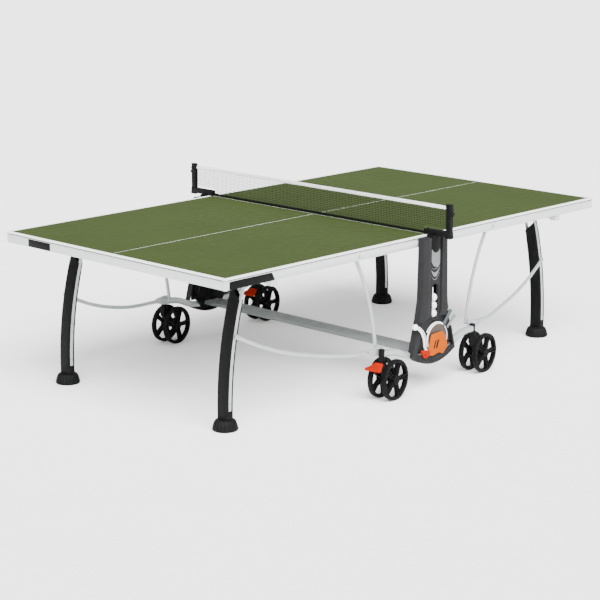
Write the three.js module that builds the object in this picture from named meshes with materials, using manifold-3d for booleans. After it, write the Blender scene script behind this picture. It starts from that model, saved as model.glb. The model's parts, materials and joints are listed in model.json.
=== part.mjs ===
// Folding roll-away ping pong table, opened for play, as a three.js scene graph.
// Millimetres, +Z up.  Origin on the floor under the middle of the net.
// X runs along the table (left half -X, right half +X), Y across it (near side -Y, far side +Y).
import * as THREE from 'three';
import { mergeVertices } from 'three/addons/utils/BufferGeometryUtils.js';
import Module from 'manifold-3d';

const wasm = await Module();
wasm.setup();

// ---------- driving dimensions ----------
const LENGTH = 2740;
const WIDTH = 1525;
const HEIGHT = 760;
const CENTRE_GAP = 5;
const GAP = 0.3;

const LAMINATE = 6;
const APRON = { height: 44, thickness: 14, inset: 5, seam: 2 };
const CROSS_RAIL = { height: 30, width: 30 };
const SHEET_STEEL = 2;
const CROSS_RAIL_X = [330, 680, 980, 1200];

const SLIDE_PIVOT = { x: 75, z: 742, pin: 10 };
const STRUT_TOP = { x: 502, z: 728 };
const STRUT_FOOT = { x: 345, z: 256 };
const STRUT = { y: 724, width: 18, thickness: 12, bow: 28 };
const STAY_FOOT = { x: 405, z: 250 };
const STAY_HEAD = { x: 1142, z: 434 };
const STAY = { footY: 737, headY: 602, width: 18, thickness: 11 };
const LINK_PIN = 10;

const LEG_AXLE = { x: 1058, z: 695, diameter: 24, reach: 715, pin: 14, pinReach: 738 };
const LEG = { y: 557, width: 70, depth: 40, footX: 1178, straightBelow: 100, curveRadius: 1730 };
const LEG_SHELL = { bottom: 53, innerTop: 556, riseOut: 44, riseSide: 44, wall: 4, floor: 10 };
const LEG_RAIL = { width: 20, thickness: 8, bottom: 93, top: 690 };
const FOOT = { radius: 60, height: 52, stem: 14, stemTop: 100 };

const PILLAR = { inner: 770, outer: 812, top: 755, wall: 4, panel: 797 };
// The cover's front edge is rounded in steps: how far behind the face each starts, and its inset.
const PILLAR_STEPS = [{ behind: 14, inset: 2 }, { behind: 8, inset: 5 }, { behind: 3, inset: 10 }];
const PILLAR_OUTLINE = { top: 86, upper: 94, upperZ: 450, waist: 117, waistZ: 345, foot: 160, footZ: 178,
  sag: 52 };
const BALL = { diameter: 40, y: 790.5, slot: 42, slotBottom: 353, slotTop: 522, count: 3 };
const STORE = { bottom: 184, top: 350, margin: 14 };
const BALL_OUTLET = { inner: 92, bottom: 292, top: 352 };
const BAT_NOTCH = { inner: 84, bottom: 292, top: 388 };
const GUIDE_PLATE = { inner: 766, outer: 769.4, slotWidth: 12, slotBottom: 246, slotTop: 749 };
const CARRIAGE = { inX: 60, outX: 80, innerY: 770, outerY: 788, below: 42, above: 7 };

const BEAM = { width: 96, height: 20, bottom: 167, end: 765.6 };
const BAR = { width: 26, height: 32, rootY: 784, endY: 766, rootZ: 170, endZ: 231 };
const CASTER = { x: 345, y: 766, swivel: 6, trail: 55, wheelRadius: 100, wheelWidth: 25, track: 40,
  spokes: 5, rim: 14, hub: 40, sleeve: 32, stem: 16, stemTop: 240 };
const PEDAL = { pivotX: -22, pivotZ: 186, tilt: 20, barrel: 12, thickness: 6 };
const AXLE = 12;

const NET = { height: 152.5, thickness: 1.6, bottom: 763, tape: 17, tapeThickness: 4 };
const NET_POST = { inner: 869, outer: 899, width: 22, top: 921 };
const NET_ARM = { inner: 738, width: 30, bottom: 763, top: 789, seat: 756 };

const BAT = { x: -18, z: 250, blade: 150, bladeY: 801, lean: 130, handleLength: 96, handleWidth: 26 };
const RELEASE = { z: 170, thickness: 9, face: 813.5 };

const SEGMENTS = 20;

// ---------- materials ----------
const finish = (color, roughness, metalness = 0) =>
  new THREE.MeshStandardMaterial({ color, roughness, metalness });
const greenLaminate = finish(0x68784a, 0.55);
const whiteSteel = finish(0xe8eaec, 0.4, 0.2);
const silverTube = finish(0xc9cecf, 0.35, 0.6);
const greySteel = finish(0x8c9090, 0.5, 0.4);
const darkPlastic = finish(0x3a3a3c, 0.6);
const blackPlastic = finish(0x19191b, 0.55);
const orangePlastic = finish(0xff6a13, 0.45);
const whitePlastic = finish(0xf4f4f2, 0.4);
const blackNet = finish(0x1d2019, 0.9);
const zincSteel = finish(0x9fa4a6, 0.35, 0.8);
const blackSteel = finish(0x242426, 0.45, 0.3);

// ---------- shape helpers ----------
const radians = (degrees) => degrees * Math.PI / 180;

// A closed geometry becomes a solid that can be joined and cut.
function solid(geometry) {
  const bare = geometry.clone();
  bare.deleteAttribute('normal');
  bare.deleteAttribute('uv');
  const merged = mergeVertices(bare, 1e-4);
  return new wasm.Manifold(new wasm.Mesh({
    numProp: 3,
    vertProperties: new Float32Array(merged.attributes.position.array),
    triVerts: new Uint32Array(merged.index.array),
  }));
}

function geometryOf(piece) {
  const { vertProperties, triVerts, numProp } = piece.getMesh();
  const positions = new Float32Array(vertProperties.length / numProp * 3);
  for (let i = 0; i < positions.length / 3; i += 1) {
    positions.set(vertProperties.subarray(i * numProp, i * numProp + 3), i * 3);
  }
  const geometry = new THREE.BufferGeometry();
  geometry.setAttribute('position', new THREE.BufferAttribute(positions, 3));
  geometry.setIndex(new THREE.BufferAttribute(new Uint32Array(triVerts), 1));
  return geometry;
}

const union = (first, ...others) => others.reduce((whole, next) => whole.add(next), first);
const difference = (first, ...cutters) => cutters.reduce((whole, next) => whole.subtract(next), first);

function box(xMin, xMax, yMin, yMax, zMin, zMax) {
  const geometry = new THREE.BoxGeometry(xMax - xMin, yMax - yMin, zMax - zMin);
  geometry.translate((xMin + xMax) / 2, (yMin + yMax) / 2, (zMin + zMax) / 2);
  return solid(geometry);
}

// A round bar along Y through (x, z).
function barAlongY(x, z, diameter, yMin, yMax, segments = SEGMENTS) {
  const geometry = new THREE.CylinderGeometry(diameter / 2, diameter / 2, yMax - yMin, segments);
  geometry.translate(x, (yMin + yMax) / 2, z);
  return solid(geometry);
}

function barAlongZ(x, y, diameter, zMin, zMax, segments = SEGMENTS) {
  const geometry = new THREE.CylinderGeometry(diameter / 2, diameter / 2, zMax - zMin, segments);
  geometry.rotateX(Math.PI / 2);
  geometry.translate(x, y, (zMin + zMax) / 2);
  return solid(geometry);
}

// A shape drawn in the XZ plane, as thick as yMin to yMax.
function slab(shape, yMin, yMax, curveSegments = 12) {
  const geometry = new THREE.ExtrudeGeometry(shape, { depth: yMax - yMin, bevelEnabled: false, curveSegments });
  geometry.rotateX(Math.PI / 2);
  geometry.translate(0, yMax, 0);
  return solid(geometry);
}

// A section swept along a curve: section x lies across the curve's plane, section y in it.
function swept(section, curve, steps) {
  return solid(new THREE.ExtrudeGeometry(section, { steps, extrudePath: curve }));
}

const polygon = (points) => new THREE.Shape(points.map(([x, y]) => new THREE.Vector2(x, y)));

// A rectangle with its corners cut off, the section of every tube.
function tubeSection(width, height, corner) {
  const x = width / 2;
  const y = height / 2;
  return polygon([[-x + corner, -y], [x - corner, -y], [x, -y + corner], [x, y - corner],
    [x - corner, y], [-x + corner, y], [-x, y - corner], [-x, -y + corner]]);
}

// Points along an arc about (0, 0), both ends included.
function arcPoints(radius, from, to, steps) {
  return Array.from({ length: steps + 1 }, (_, i) => {
    const angle = radians(from + (to - from) * i / steps);
    return [radius * Math.cos(angle), radius * Math.sin(angle)];
  });
}

// A slot or pill shape standing upright in the XZ plane.
function uprightSlot(x, width, bottom, top) {
  const r = width / 2;
  const shape = new THREE.Shape();
  shape.absarc(x, top - r, r, 0, Math.PI);
  shape.absarc(x, bottom + r, r, Math.PI, 2 * Math.PI);
  return shape;
}

// Shapes are drawn for the right (+X) far (+Y) quarter and mirrored into the others.
function mirrored(piece, sideX, sideY) {
  const flipX = sideX < 0 ? piece.mirror([1, 0, 0]) : piece;
  return sideY < 0 ? flipX.mirror([0, 1, 0]) : flipX;
}

// Turned half a turn about Z, so that both ends of the table look alike from outside.
const turned = (piece, sideY) => (sideY < 0 ? piece.rotate([0, 0, 180]) : piece);

const table = new THREE.Group();

function place(name, piece, material, parent = table) {
  const mesh = new THREE.Mesh(geometryOf(piece), material);
  mesh.name = name;
  parent.add(mesh);
  return mesh;
}

const SIDES_X = [['left', -1], ['right', 1]];
const SIDES_Y = [['near', -1], ['far', 1]];

// ---------- table tops ----------
function playingSurface() {
  return box(CENTRE_GAP / 2, LENGTH / 2, -WIDTH / 2, WIDTH / 2, HEIGHT - LAMINATE, HEIGHT);
}

function legHingeLug() {
  const { x, z, reach } = LEG_AXLE;
  return box(x - 18, x + 18, reach + 5, WIDTH / 2 - APRON.inset - 1, z - 14, z + 22);
}

// A rectangular ring seen from above, as wide as `width`, from bottom to top.
function ring(innerX, outerX, outerY, width, bottom, top) {
  return box(innerX, outerX, -outerY, outerY, bottom, top)
    .subtract(box(innerX + width, outerX - width, -outerY + width, outerY - width, bottom - 1, top + 1));
}

// Side aprons, end apron, inner rail and cross rails: sheet steel channels, open below, welded as one.
function topFrame() {
  const top = HEIGHT - LAMINATE - APRON.seam;
  const bottom = top - APRON.height;
  const outerY = WIDTH / 2 - APRON.inset;
  const innerY = outerY - APRON.thickness;
  const innerX = CENTRE_GAP / 2 + 3;
  const outerX = LENGTH / 2 - APRON.inset;
  const wall = SHEET_STEEL;
  const crossRail = (x, thinner, drop) => {
    const halfWidth = CROSS_RAIL.width / 2 - thinner;
    const reach = innerY + 1 - thinner;
    return box(x - halfWidth, x + halfWidth, -reach, reach, top - CROSS_RAIL.height - drop, top - thinner);
  };
  const channelGap = APRON.thickness - 2 * wall;
  const rim = ring(innerX, outerX, outerY, APRON.thickness, bottom, top);
  const rimHollow = ring(innerX + wall, outerX - wall, outerY - wall, channelGap, bottom - 1, top - wall);
  const crossRails = CROSS_RAIL_X.map((x) => crossRail(x, 0, 0));
  const crossHollows = CROSS_RAIL_X.map((x) => crossRail(x, wall, 1));
  const fittings = [];
  for (const [, side] of SIDES_Y) {
    const strutPin = barAlongY(STRUT_TOP.x, STRUT_TOP.z, LINK_PIN, STRUT.y - 8, outerY - 1, 16);
    fittings.push(mirrored(legHingeLug(), 1, side), mirrored(strutPin, 1, side));
  }
  const channels = difference(union(rim, ...crossRails), rimHollow, ...crossHollows);
  const pivotHole = barAlongY(SLIDE_PIVOT.x, SLIDE_PIVOT.z, SLIDE_PIVOT.pin + 1, -outerY - 1, outerY + 1);
  const axleHole = barAlongY(LEG_AXLE.x, LEG_AXLE.z, LEG_AXLE.pin + 1, -outerY + 2, outerY - 2);
  return difference(union(channels, ...fittings), pivotHole, axleHole);
}

// ---------- legs ----------
// The leg's centre line: straight near the floor, then an arc leaning towards the net.
function legCentreX(z) {
  const above = Math.max(0, z - LEG.straightBelow);
  return LEG.footX - (LEG.curveRadius - Math.sqrt(LEG.curveRadius ** 2 - above ** 2));
}

class LegCurve extends THREE.Curve {
  constructor(bottom, top, y) {
    super();
    Object.assign(this, { bottom, top, y });
  }

  getPoint(t, target = new THREE.Vector3()) {
    const z = this.bottom + t * (this.top - this.bottom);
    return target.set(legCentreX(z), this.y, z);
  }
}

const legSweep = (width, depth, corner, bottom, top, y) =>
  swept(tubeSection(width, depth, corner), new LegCurve(bottom, top, y), 7);

function legRail(side) {
  const y = LEG.y + side * (LEG.width / 2 - LEG_RAIL.thickness / 2 - 1.5);
  return legSweep(LEG_RAIL.thickness, LEG_RAIL.width, 2.5, LEG_RAIL.bottom, LEG_RAIL.top, y);
}

// A cross axle with two curved rails hanging down to each leg, welded as one piece.
function legFrame() {
  const { x, z, diameter, reach, pin, pinReach } = LEG_AXLE;
  const axle = barAlongY(x, z, diameter, -reach, reach, 16);
  const ends = barAlongY(x, z, pin, -pinReach, pinReach, 16);
  const rails = [];
  for (const [, sideY] of SIDES_Y) {
    for (const face of [-1, 1]) {
      rails.push(mirrored(legRail(face), 1, sideY));
    }
    const plate = box(x, legCentreX(z) + 8, LEG.y - 31, LEG.y + 31, z - 30, z + 6);
    rails.push(mirrored(plate, 1, sideY));
  }
  return union(axle, ends, ...rails);
}

// The moulded leg: a hollow shell with a groove each side for the rails.  Its open top is cut off
// at a slant, lowest at the corner that faces the middle of the table.
function legShell() {
  const { bottom, innerTop, riseOut, riseSide, wall, floor } = LEG_SHELL;
  const tall = innerTop + riseOut + riseSide + 10;
  const outer = legSweep(LEG.width, LEG.depth, 9, bottom, tall, LEG.y);
  const groove = LEG_RAIL.thickness + 1.5;
  const core = LEG.width - 2 * (groove + wall);
  const hollow = legSweep(core, LEG.depth - 2 * wall, 5, bottom + floor, tall + 1, LEG.y);
  const grooves = [-1, 1].map((face) => legSweep(
    groove * 2, LEG_RAIL.width + 2, 2, LEG_RAIL.bottom - 4, tall + 1, LEG.y + face * LEG.width / 2));
  const slopeX = riseOut / LEG.depth;
  const slopeY = riseSide / LEG.width;
  const low = { x: legCentreX(innerTop) - LEG.depth / 2, y: LEG.y - LEG.width / 2 };
  const stemHole = barAlongZ(LEG.footX, LEG.y, FOOT.stem + 1.5, bottom - 1, bottom + floor + 5, 16);
  const height = (slopeX * low.x + slopeY * low.y - innerTop) / Math.hypot(slopeX, slopeY, 1);
  return difference(outer, hollow, ...grooves, stemHole).trimByPlane([slopeX, slopeY, -1], height);
}

// A flared levelling foot on its threaded stem.
function levellingFoot() {
  const { radius, height, stem, stemTop } = FOOT;
  const profile = [[0, 0], [radius - 3, 0], [radius, 6], [radius - 1, 14], [radius - 7, 34], [radius - 13, 46],
    [radius - 20, height], [stem / 2, height], [stem / 2, stemTop], [0, stemTop]];
  const geometry = new THREE.LatheGeometry(profile.map(([r, z]) => new THREE.Vector2(r, z)), SEGMENTS);
  geometry.rotateX(Math.PI / 2);
  geometry.translate(LEG.footX, LEG.y, 0);
  return solid(geometry);
}

// ---------- folding links ----------
// An arc in the XZ plane between two pins, bowed to one side of the straight line between them.
class BowedLink extends THREE.Curve {
  constructor(from, to, bow, fromY, toY) {
    super();
    Object.assign(this, { from, to, bow, fromY, toY });
  }

  getPoint(t, target = new THREE.Vector3()) {
    const runX = this.to.x - this.from.x;
    const runZ = this.to.z - this.from.z;
    const length = Math.hypot(runX, runZ);
    const offset = 4 * this.bow * t * (1 - t);
    return target.set(
      this.from.x + runX * t - runZ / length * offset,
      this.fromY + (this.toY - this.fromY) * t,
      this.from.z + runZ * t + runX / length * offset,
    );
  }
}

function linkEye(pin, y, size, thickness) {
  return barAlongY(pin.x, pin.z, size, y - thickness / 2, y + thickness / 2, 16);
}

function strut() {
  const { y, width, thickness, bow } = STRUT;
  const tube = swept(tubeSection(thickness, width, 4), new BowedLink(STRUT_FOOT, STRUT_TOP, bow, y, y), 8);
  const eyes = [STRUT_FOOT, STRUT_TOP].map((pin) => linkEye(pin, y, width + 4, thickness));
  const holes = [STRUT_FOOT, STRUT_TOP].map((pin) => linkEye(pin, y, LINK_PIN + 1, thickness + 12));
  return difference(union(tube, ...eyes), ...holes);
}

function stay() {
  const { footY, headY, width, thickness } = STAY;
  const curve = new THREE.CatmullRomCurve3([
    new THREE.Vector3(STAY_FOOT.x, footY, STAY_FOOT.z),
    new THREE.Vector3(490, 736, 251),
    new THREE.Vector3(560, 721, 256),
    new THREE.Vector3(690, 686, 275),
    new THREE.Vector3(860, 655, 315),
    new THREE.Vector3(1010, 626, 369),
    new THREE.Vector3(STAY_HEAD.x, headY, STAY_HEAD.z),
  ], false, 'centripetal');
  const tube = swept(tubeSection(thickness, width, 4), curve, 11);
  const eye = linkEye(STAY_FOOT, footY, width + 4, thickness);
  const head = linkEye(STAY_HEAD, headY, width, thickness);
  const hole = linkEye(STAY_FOOT, footY, LINK_PIN + 1, thickness + 12);
  return difference(union(tube, eye, head), hole);
}

// ---------- pillars ----------
// The pillar seen from the side of the table, grown outwards by a margin (negative shrinks it).
function pillarOutline(margin = 0, topMargin = margin) {
  const o = PILLAR_OUTLINE;
  const top = PILLAR.top + topMargin;
  const shape = new THREE.Shape();
  shape.moveTo(-o.top - margin, top);
  shape.lineTo(-o.upper - margin, o.upperZ);
  shape.quadraticCurveTo(-o.upper - margin - 4, 400, -o.waist - margin, o.waistZ);
  shape.lineTo(-o.foot - margin, o.footZ - margin);
  shape.quadraticCurveTo(0, o.footZ - 2 * o.sag - margin, o.foot + margin, o.footZ - margin);
  shape.lineTo(o.waist + margin, o.waistZ);
  shape.quadraticCurveTo(o.upper + margin + 4, 400, o.upper + margin, o.upperZ);
  shape.lineTo(o.top + margin, top);
  return shape;
}

// The long recess down the middle of the pillar with its round lower end.
function recessOutline(margin = 0) {
  const half = 46 + margin;
  const shape = new THREE.Shape();
  shape.moveTo(-half + 4, PILLAR.top + 10);
  shape.lineTo(-half, 384);
  shape.quadraticCurveTo(0, 316 - 2 * margin, half, 384);
  shape.lineTo(half - 4, PILLAR.top + 10);
  return shape;
}

// The storage hollow in the pillar's foot, for a bat and a ball.
function storeOutline(margin = 0) {
  const { bottom, top, margin: rim } = STORE;
  const o = PILLAR_OUTLINE;
  const topHalf = o.waist - rim + margin;
  const footHalf = o.foot - rim - 6 + margin;
  const shape = new THREE.Shape();
  shape.moveTo(-topHalf, top + margin);
  shape.lineTo(-footHalf, bottom + 14 - margin);
  shape.quadraticCurveTo(0, bottom - 36 - margin, footHalf, bottom + 14 - margin);
  shape.lineTo(topHalf, top + margin);
  shape.quadraticCurveTo(0, top + 30 + margin, -topHalf, top + margin);
  return shape;
}

function pillarCover() {
  const { inner, outer, wall, panel } = PILLAR;
  const layers = [slab(pillarOutline(), inner, outer - PILLAR_STEPS[0].behind)];
  PILLAR_STEPS.forEach(({ behind, inset }, i) => {
    const front = i + 1 < PILLAR_STEPS.length ? outer - PILLAR_STEPS[i + 1].behind : outer;
    layers.push(slab(pillarOutline(-inset, 0), outer - behind - 1, front));
  });
  const body = union(...layers);
  const deepest = PILLAR_STEPS[PILLAR_STEPS.length - 1].inset;
  const backHollow = slab(pillarOutline(-wall), inner - 1, panel - wall);
  const flankHollow = slab(pillarOutline(-wall - deepest), panel - wall - 1, outer - wall)
    .subtract(slab(recessOutline(wall), panel - wall - 2, outer))
    .subtract(slab(storeOutline(wall), panel - wall - 2, outer));
  const recess = slab(recessOutline(), panel, outer + 1);
  const store = slab(storeOutline(), panel, outer + 1);
  const ballSlot = slab(uprightSlot(0, BALL.slot, BALL.slotBottom, BALL.slotTop), inner, outer + 1);
  const ballOutlet = box(BALL_OUTLET.inner, 180, panel, outer + 1, BALL_OUTLET.bottom, BALL_OUTLET.top);
  const batNotch = box(-180, -BAT_NOTCH.inner, panel, outer + 1, BAT_NOTCH.bottom, BAT_NOTCH.top);
  const barFace = BAR.rootY + BAR.width / 2 + 2;
  const barWay = union(
    box(-125, 125, inner - 1, barFace, 120, 196),
    box(-175, -120, inner - 1, barFace, 120, 216),
    box(120, 175, inner - 1, barFace, 120, 216),
  );
  return difference(body, backHollow, flankHollow, recess, store, ballSlot, ballOutlet, batNotch, barWay);
}

// The steel plate behind the cover, with the two long slots that the carriages run in.
function guidePlate() {
  const { inner, outer, slotWidth, slotBottom, slotTop } = GUIDE_PLATE;
  const outline = polygon([[-86, PILLAR.top], [-93, 450], [-112, 350], [-118, 220], [-70, 152],
    [70, 152], [118, 220], [112, 350], [93, 450], [86, PILLAR.top]]);
  for (const side of [-1, 1]) {
    outline.holes.push(uprightSlot(side * SLIDE_PIVOT.x, slotWidth, slotBottom, slotTop));
  }
  return slab(outline, inner, outer, 6);
}

// The block that slides behind the plate; its pin passes through the slot into the side apron.
function carriage() {
  const { inX, outX, innerY, outerY, below, above } = CARRIAGE;
  const block = box(inX, outX, innerY, outerY, SLIDE_PIVOT.z - below, SLIDE_PIVOT.z + above);
  const pin = barAlongY(SLIDE_PIVOT.x, SLIDE_PIVOT.z, SLIDE_PIVOT.pin, WIDTH / 2 - 24, outerY, 16);
  return union(block, pin);
}

function ballStack() {
  const profile = new THREE.Path();
  const r = BALL.diameter / 2;
  const pitch = BALL.diameter - 0.4;
  const reach = Math.acos((pitch / 2) / r);
  for (let i = 0; i < BALL.count; i += 1) {
    const low = i === 0 ? -Math.PI / 2 : -Math.PI / 2 + reach;
    const high = i === BALL.count - 1 ? Math.PI / 2 : Math.PI / 2 - reach;
    profile.absarc(0, r + i * pitch, r, low, high);
  }
  const geometry = new THREE.LatheGeometry(profile.getPoints(3), 14);
  geometry.rotateX(Math.PI / 2);
  geometry.translate(0, BALL.y, BALL.slotBottom + 2);
  return solid(geometry);
}

// The white rail in the pillar's foot that leads balls up to the outlet at its side.
function ballGuide() {
  const y = PILLAR.outer - 6;
  const path = [[66, 204], [76, 222], [79, 244], [84, 274], [99, 304], [122, 326]];
  const rail = new THREE.CatmullRomCurve3(path.map(([x, z]) => new THREE.Vector3(x, y, z)));
  const hub = barAlongY(66, 204, 16, y - 4, y + 4, 12);
  return union(swept(tubeSection(8, 8, 2.5), rail, 9), hub);
}

// A bat held flat in the storage hollow with its handle pointing up and out of the side notch.
function storedBat() {
  const { x, z, blade, bladeY, lean, handleLength, handleWidth } = BAT;
  const disc = barAlongY(x, z, blade, bladeY, bladeY + 8, 32);
  const handle = box(blade / 2 - 24, blade / 2 + handleLength, -3, 10, -handleWidth / 2, handleWidth / 2)
    .rotate([0, -lean, 0])
    .translate([x, bladeY, z]);
  return union(disc, handle);
}

// The orange fold release handle, hinged along its lower edge, with its latch beside it.
function releaseHandle() {
  const { face, thickness } = RELEASE;
  const shield = polygon([[36, 279], [-42, 283], [-68, 253], [-84, 203], [-49, 169], [-16, 180], [30, 171],
    [62, 179], [59, 207], [46, 255]]);
  const latch = polygon([[108, 214], [52, 202], [52, 178], [86, 168], [100, 177], [115, 206]]);
  return union(slab(shield, face, face + thickness), slab(latch, face, face + thickness - 2))
    .subtract(barAlongY(88, 184, 8, face - 1, face + thickness + 1, 12));
}

// ---------- chassis ----------
// A flat tube across the table, open at both ends.
function crossBeam() {
  const { width, height, bottom, end } = BEAM;
  const tube = (thinner, longer) => box(-width / 2 + thinner, width / 2 - thinner, -end - longer, end + longer,
    bottom + thinner, bottom + height - thinner);
  return difference(tube(0, 0), tube(SHEET_STEEL, 1));
}

// One bent tube carries both casters of a side.  It dips through the pillar's foot and comes out
// behind the edges of the cover.
function wheelBar() {
  const half = [
    [60, BAR.rootY, BAR.rootZ],
    [106, BAR.rootY - 1, BAR.rootZ + 4],
    [160, 769, 188],
    [200, BAR.endY, 205],
    [245, BAR.endY, 222],
    [300, BAR.endY, BAR.endZ],
    [CASTER.x, BAR.endY, BAR.endZ],
  ];
  const otherHalf = half.map(([x, y, z]) => [-x, y, z]).reverse();
  const points = [...otherHalf, [0, BAR.rootY, BAR.rootZ - 1], ...half];
  const curve = new THREE.CatmullRomCurve3(points.map((p) => new THREE.Vector3(...p)), false, 'centripetal');
  const tube = swept(tubeSection(BAR.width, BAR.height, 7), curve, 28);
  const fittings = [];
  const sockets = [];
  for (const [, sideX] of SIDES_X) {
    const sleeve = barAlongZ(CASTER.x, CASTER.y, CASTER.sleeve, BAR.endZ - 17, BAR.endZ + 19, 20);
    const plate = polygon([[326, 222], [362, 222], [416, 238], [418, 258], [398, 264], [350, 270], [330, 266]]);
    const bracket = slab(plate, 746, 755);
    const strutFace = STRUT.y + STRUT.thickness / 2;
    const strutPin = barAlongY(STRUT_FOOT.x, STRUT_FOOT.z, LINK_PIN, strutFace + 1, 748, 16);
    const stayPin = barAlongY(STAY_FOOT.x, STAY_FOOT.z, LINK_PIN, STAY.footY - 6, 748, 16);
    fittings.push(...[sleeve, bracket, strutPin, stayPin].map((piece) => mirrored(piece, sideX, 1)));
    sockets.push(barAlongZ(sideX * CASTER.x, CASTER.y, CASTER.stem + 1, BAR.endZ - 18, CASTER.stemTop + 2, 16));
  }
  const weldTab = box(-44, 44, GUIDE_PLATE.outer + GAP, BAR.rootY, BAR.rootZ - 14, BAR.rootZ + 12);
  return difference(union(tube, weldTab, ...fittings), ...sockets);
}

// ---------- casters, drawn about the swivel axis with the trail along +X ----------
function casterFork() {
  const { trail, wheelRadius: z, track, wheelWidth } = CASTER;
  const arm = new THREE.Shape();
  arm.moveTo(-15, 208);
  arm.lineTo(-15, 160);
  arm.lineTo(trail - 15, z - 4);
  arm.absarc(trail, z, 16, Math.PI * 1.15, Math.PI * 2.2);
  arm.lineTo(20, 190);
  arm.lineTo(16, 208);
  const { stem, stemTop } = CASTER;
  const collar = barAlongZ(0, 0, 30, 200, 213.5, 20);
  const post = barAlongZ(0, 0, stem, 205, stemTop, 16);
  const axle = barAlongY(trail, z, AXLE, -track - wheelWidth / 2 - 3, track + wheelWidth / 2 + 3, 12);
  return union(slab(arm, -12, 12, 5), collar, post, axle);
}

// A five-spoke wheel on a long hub; its hub points inwards (-Y).
function wheel() {
  const { wheelRadius, wheelWidth, spokes, rim, hub } = CASTER;
  const disc = polygon(arcPoints(wheelRadius, 0, 350, 35));
  for (let i = 0; i < spokes; i += 1) {
    const middle = 90 + (i + 0.5) * 360 / spokes;
    disc.holes.push(polygon([
      ...arcPoints(wheelRadius - rim, middle - 29, middle + 29, 5),
      ...arcPoints(34, middle + 23, middle - 23, 2),
    ]));
  }
  const hubTube = barAlongY(0, 0, hub, -wheelWidth / 2 - 13, wheelWidth / 2 + 1, 16);
  const bore = barAlongY(0, 0, AXLE + 1, -60, 60, 12);
  return difference(union(slab(disc, -wheelWidth / 2, wheelWidth / 2), hubTube), bore);
}

function brakePedal() {
  const { pivotX, pivotZ, tilt, barrel, thickness } = PEDAL;
  const plate = polygon([[0, -25], [0, 25], [-28, 34], [-50, 48], [-58, 40], [-58, -40], [-50, -48], [-28, -34]]);
  const geometry = new THREE.ExtrudeGeometry(plate, { depth: thickness, bevelEnabled: false });
  const pad = solid(geometry).rotate([0, -tilt, 0]).translate([pivotX, 0, pivotZ - thickness / 2]);
  return union(pad, barAlongY(pivotX, pivotZ, barrel, -22, 22, 16));
}

// ---------- net ----------
function netBracket() {
  const { inner, outer, width, top } = NET_POST;
  const post = box(-width / 2, width / 2, inner, outer, NET_ARM.seat, top);
  const half = NET_ARM.width / 2;
  const arm = box(-half, half, NET_ARM.inner, outer - 1, NET_ARM.bottom, NET_ARM.top);
  const seat = box(-half - 16, half + 16, PILLAR.inner, PILLAR.outer, NET_ARM.seat, NET_ARM.bottom + 1);
  return union(post, arm, seat);
}

function netPanel() {
  const reach = NET_POST.inner - GAP;
  const top = HEIGHT + NET.height - NET.tape - GAP;
  const shape = polygon([[-reach, top], [-reach, NET_ARM.top + 3], [-NET_ARM.inner + 4, NET_ARM.top + 3],
    [-NET_ARM.inner + 4, NET.bottom], [NET_ARM.inner - 4, NET.bottom], [NET_ARM.inner - 4, NET_ARM.top + 3],
    [reach, NET_ARM.top + 3], [reach, top]]);
  return slab(shape, -NET.thickness / 2, NET.thickness / 2).rotate([0, 0, 90]);
}

function netTape() {
  const reach = NET_POST.inner - GAP;
  const half = NET.tapeThickness / 2;
  return box(-half, half, -reach, reach, HEIGHT + NET.height - NET.tape, HEIGHT + NET.height);
}

// ---------- assembly ----------
function buildHalf(sideName, sideX) {
  place(`${sideName}_playing_surface`, mirrored(playingSurface(), sideX, 1), greenLaminate);
  place(`${sideName}_top_frame`, mirrored(topFrame(), sideX, 1), whiteSteel);
  place(`${sideName}_leg_frame`, mirrored(legFrame(), sideX, 1), silverTube);
}

function buildCorner(corner, sideX, sideY) {
  place(`${corner}_leg_shell`, mirrored(legShell(), sideX, sideY), darkPlastic);
  place(`${corner}_foot`, mirrored(levellingFoot(), sideX, sideY), blackPlastic);
  place(`${corner}_strut`, mirrored(strut(), sideX, sideY), silverTube);
  place(`${corner}_stay`, mirrored(stay(), sideX, sideY), silverTube);
  place(`${corner}_carriage`, mirrored(carriage(), sideX, sideY), zincSteel);
}

function buildCaster(corner, sideX, sideY, braked) {
  const caster = new THREE.Group();
  caster.position.set(sideX * CASTER.x, sideY * CASTER.y, 0);
  caster.rotation.z = radians(CASTER.swivel);
  table.add(caster);
  place(`${corner}_caster_fork`, casterFork(), blackPlastic, caster);
  for (const [wheelName, wheelSide] of SIDES_Y) {
    const disc = place(`${corner}_${wheelName}_wheel`, mirrored(wheel(), 1, wheelSide), blackPlastic, caster);
    disc.position.set(CASTER.trail, wheelSide * CASTER.track, CASTER.wheelRadius);
  }
  if (braked) {
    place(`${corner}_brake_pedal`, brakePedal(), orangePlastic, caster);
  }
}

function buildPillar(sideName, sideY) {
  const make = (name, piece, material) => place(`${sideName}_${name}`, turned(piece, sideY), material);
  make('pillar_cover', pillarCover(), darkPlastic);
  make('guide_plate', guidePlate(), blackSteel);
  make('wheel_bar', wheelBar(), silverTube);
  make('net_bracket', netBracket(), blackPlastic);
  make('ball_stack', ballStack(), whitePlastic);
  make('ball_guide', ballGuide(), whitePlastic);
  make('stored_bat', storedBat(), greySteel);
  make('release_handle', releaseHandle(), orangePlastic);
}

for (const [sideName, sideX] of SIDES_X) {
  buildHalf(sideName, sideX);
}
for (const [nameY, sideY] of SIDES_Y) {
  for (const [nameX, sideX] of SIDES_X) {
    const corner = `${nameY}_${nameX}`;
    buildCorner(corner, sideX, sideY);
    buildCaster(corner, sideX, sideY, corner === 'near_left' || corner === 'far_right');
  }
  buildPillar(nameY, sideY);
}
place('cross_beam', crossBeam(), greySteel);
place('net', netPanel(), blackNet);
place('net_tape', netTape(), whitePlastic);

export default table;
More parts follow.
